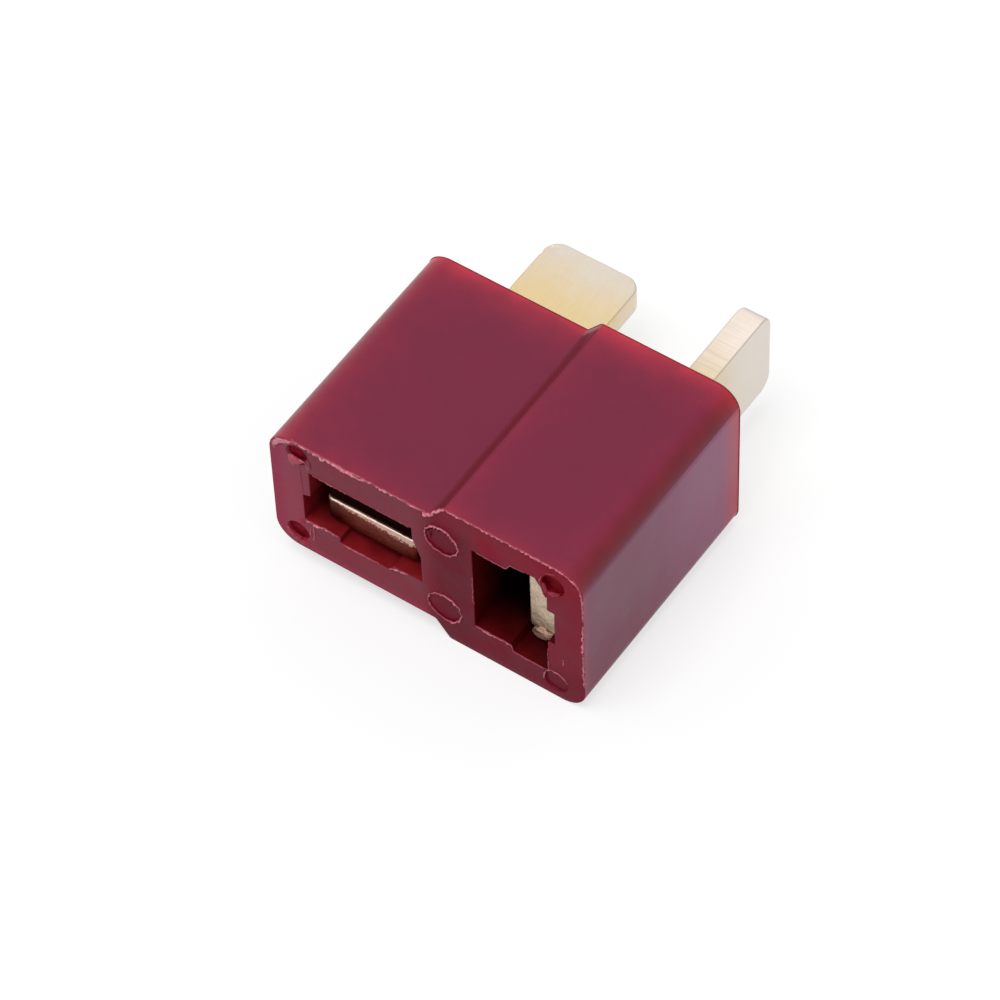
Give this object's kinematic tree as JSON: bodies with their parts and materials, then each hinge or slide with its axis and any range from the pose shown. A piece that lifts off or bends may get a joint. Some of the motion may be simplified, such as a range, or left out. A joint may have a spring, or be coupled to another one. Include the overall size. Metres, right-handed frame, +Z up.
{
  "type": "t plug battery connector",
  "caption": "Socket half of a keyed T plug battery connector: a stepped moulded housing with crossed slots around flat plated contacts with solder tabs.",
  "frame": {"origin": "middle of the part's footprint, solder tabs included, on the face that it rests on", "axes": "+Z up out of the top face, +Y along the contacts towards the solder tabs, slots open to -Y, +X from the thin half with the flat contact to the thick half with the upright contact"},
  "size_m": [0.0158, 0.0176, 0.009],
  "materials": {
    "maroon_nylon": "satin moulded nylon, slightly see-through red, with light flash along its mould edges",
    "plated_brass": "dull pale gold plating, worn greyish towards the tab ends"
  },
  "bodies": {
    "root": {"housing": "maroon_nylon", "flat_contact": "plated_brass", "upright_contact": "plated_brass"}
  },
  "joints": []
}
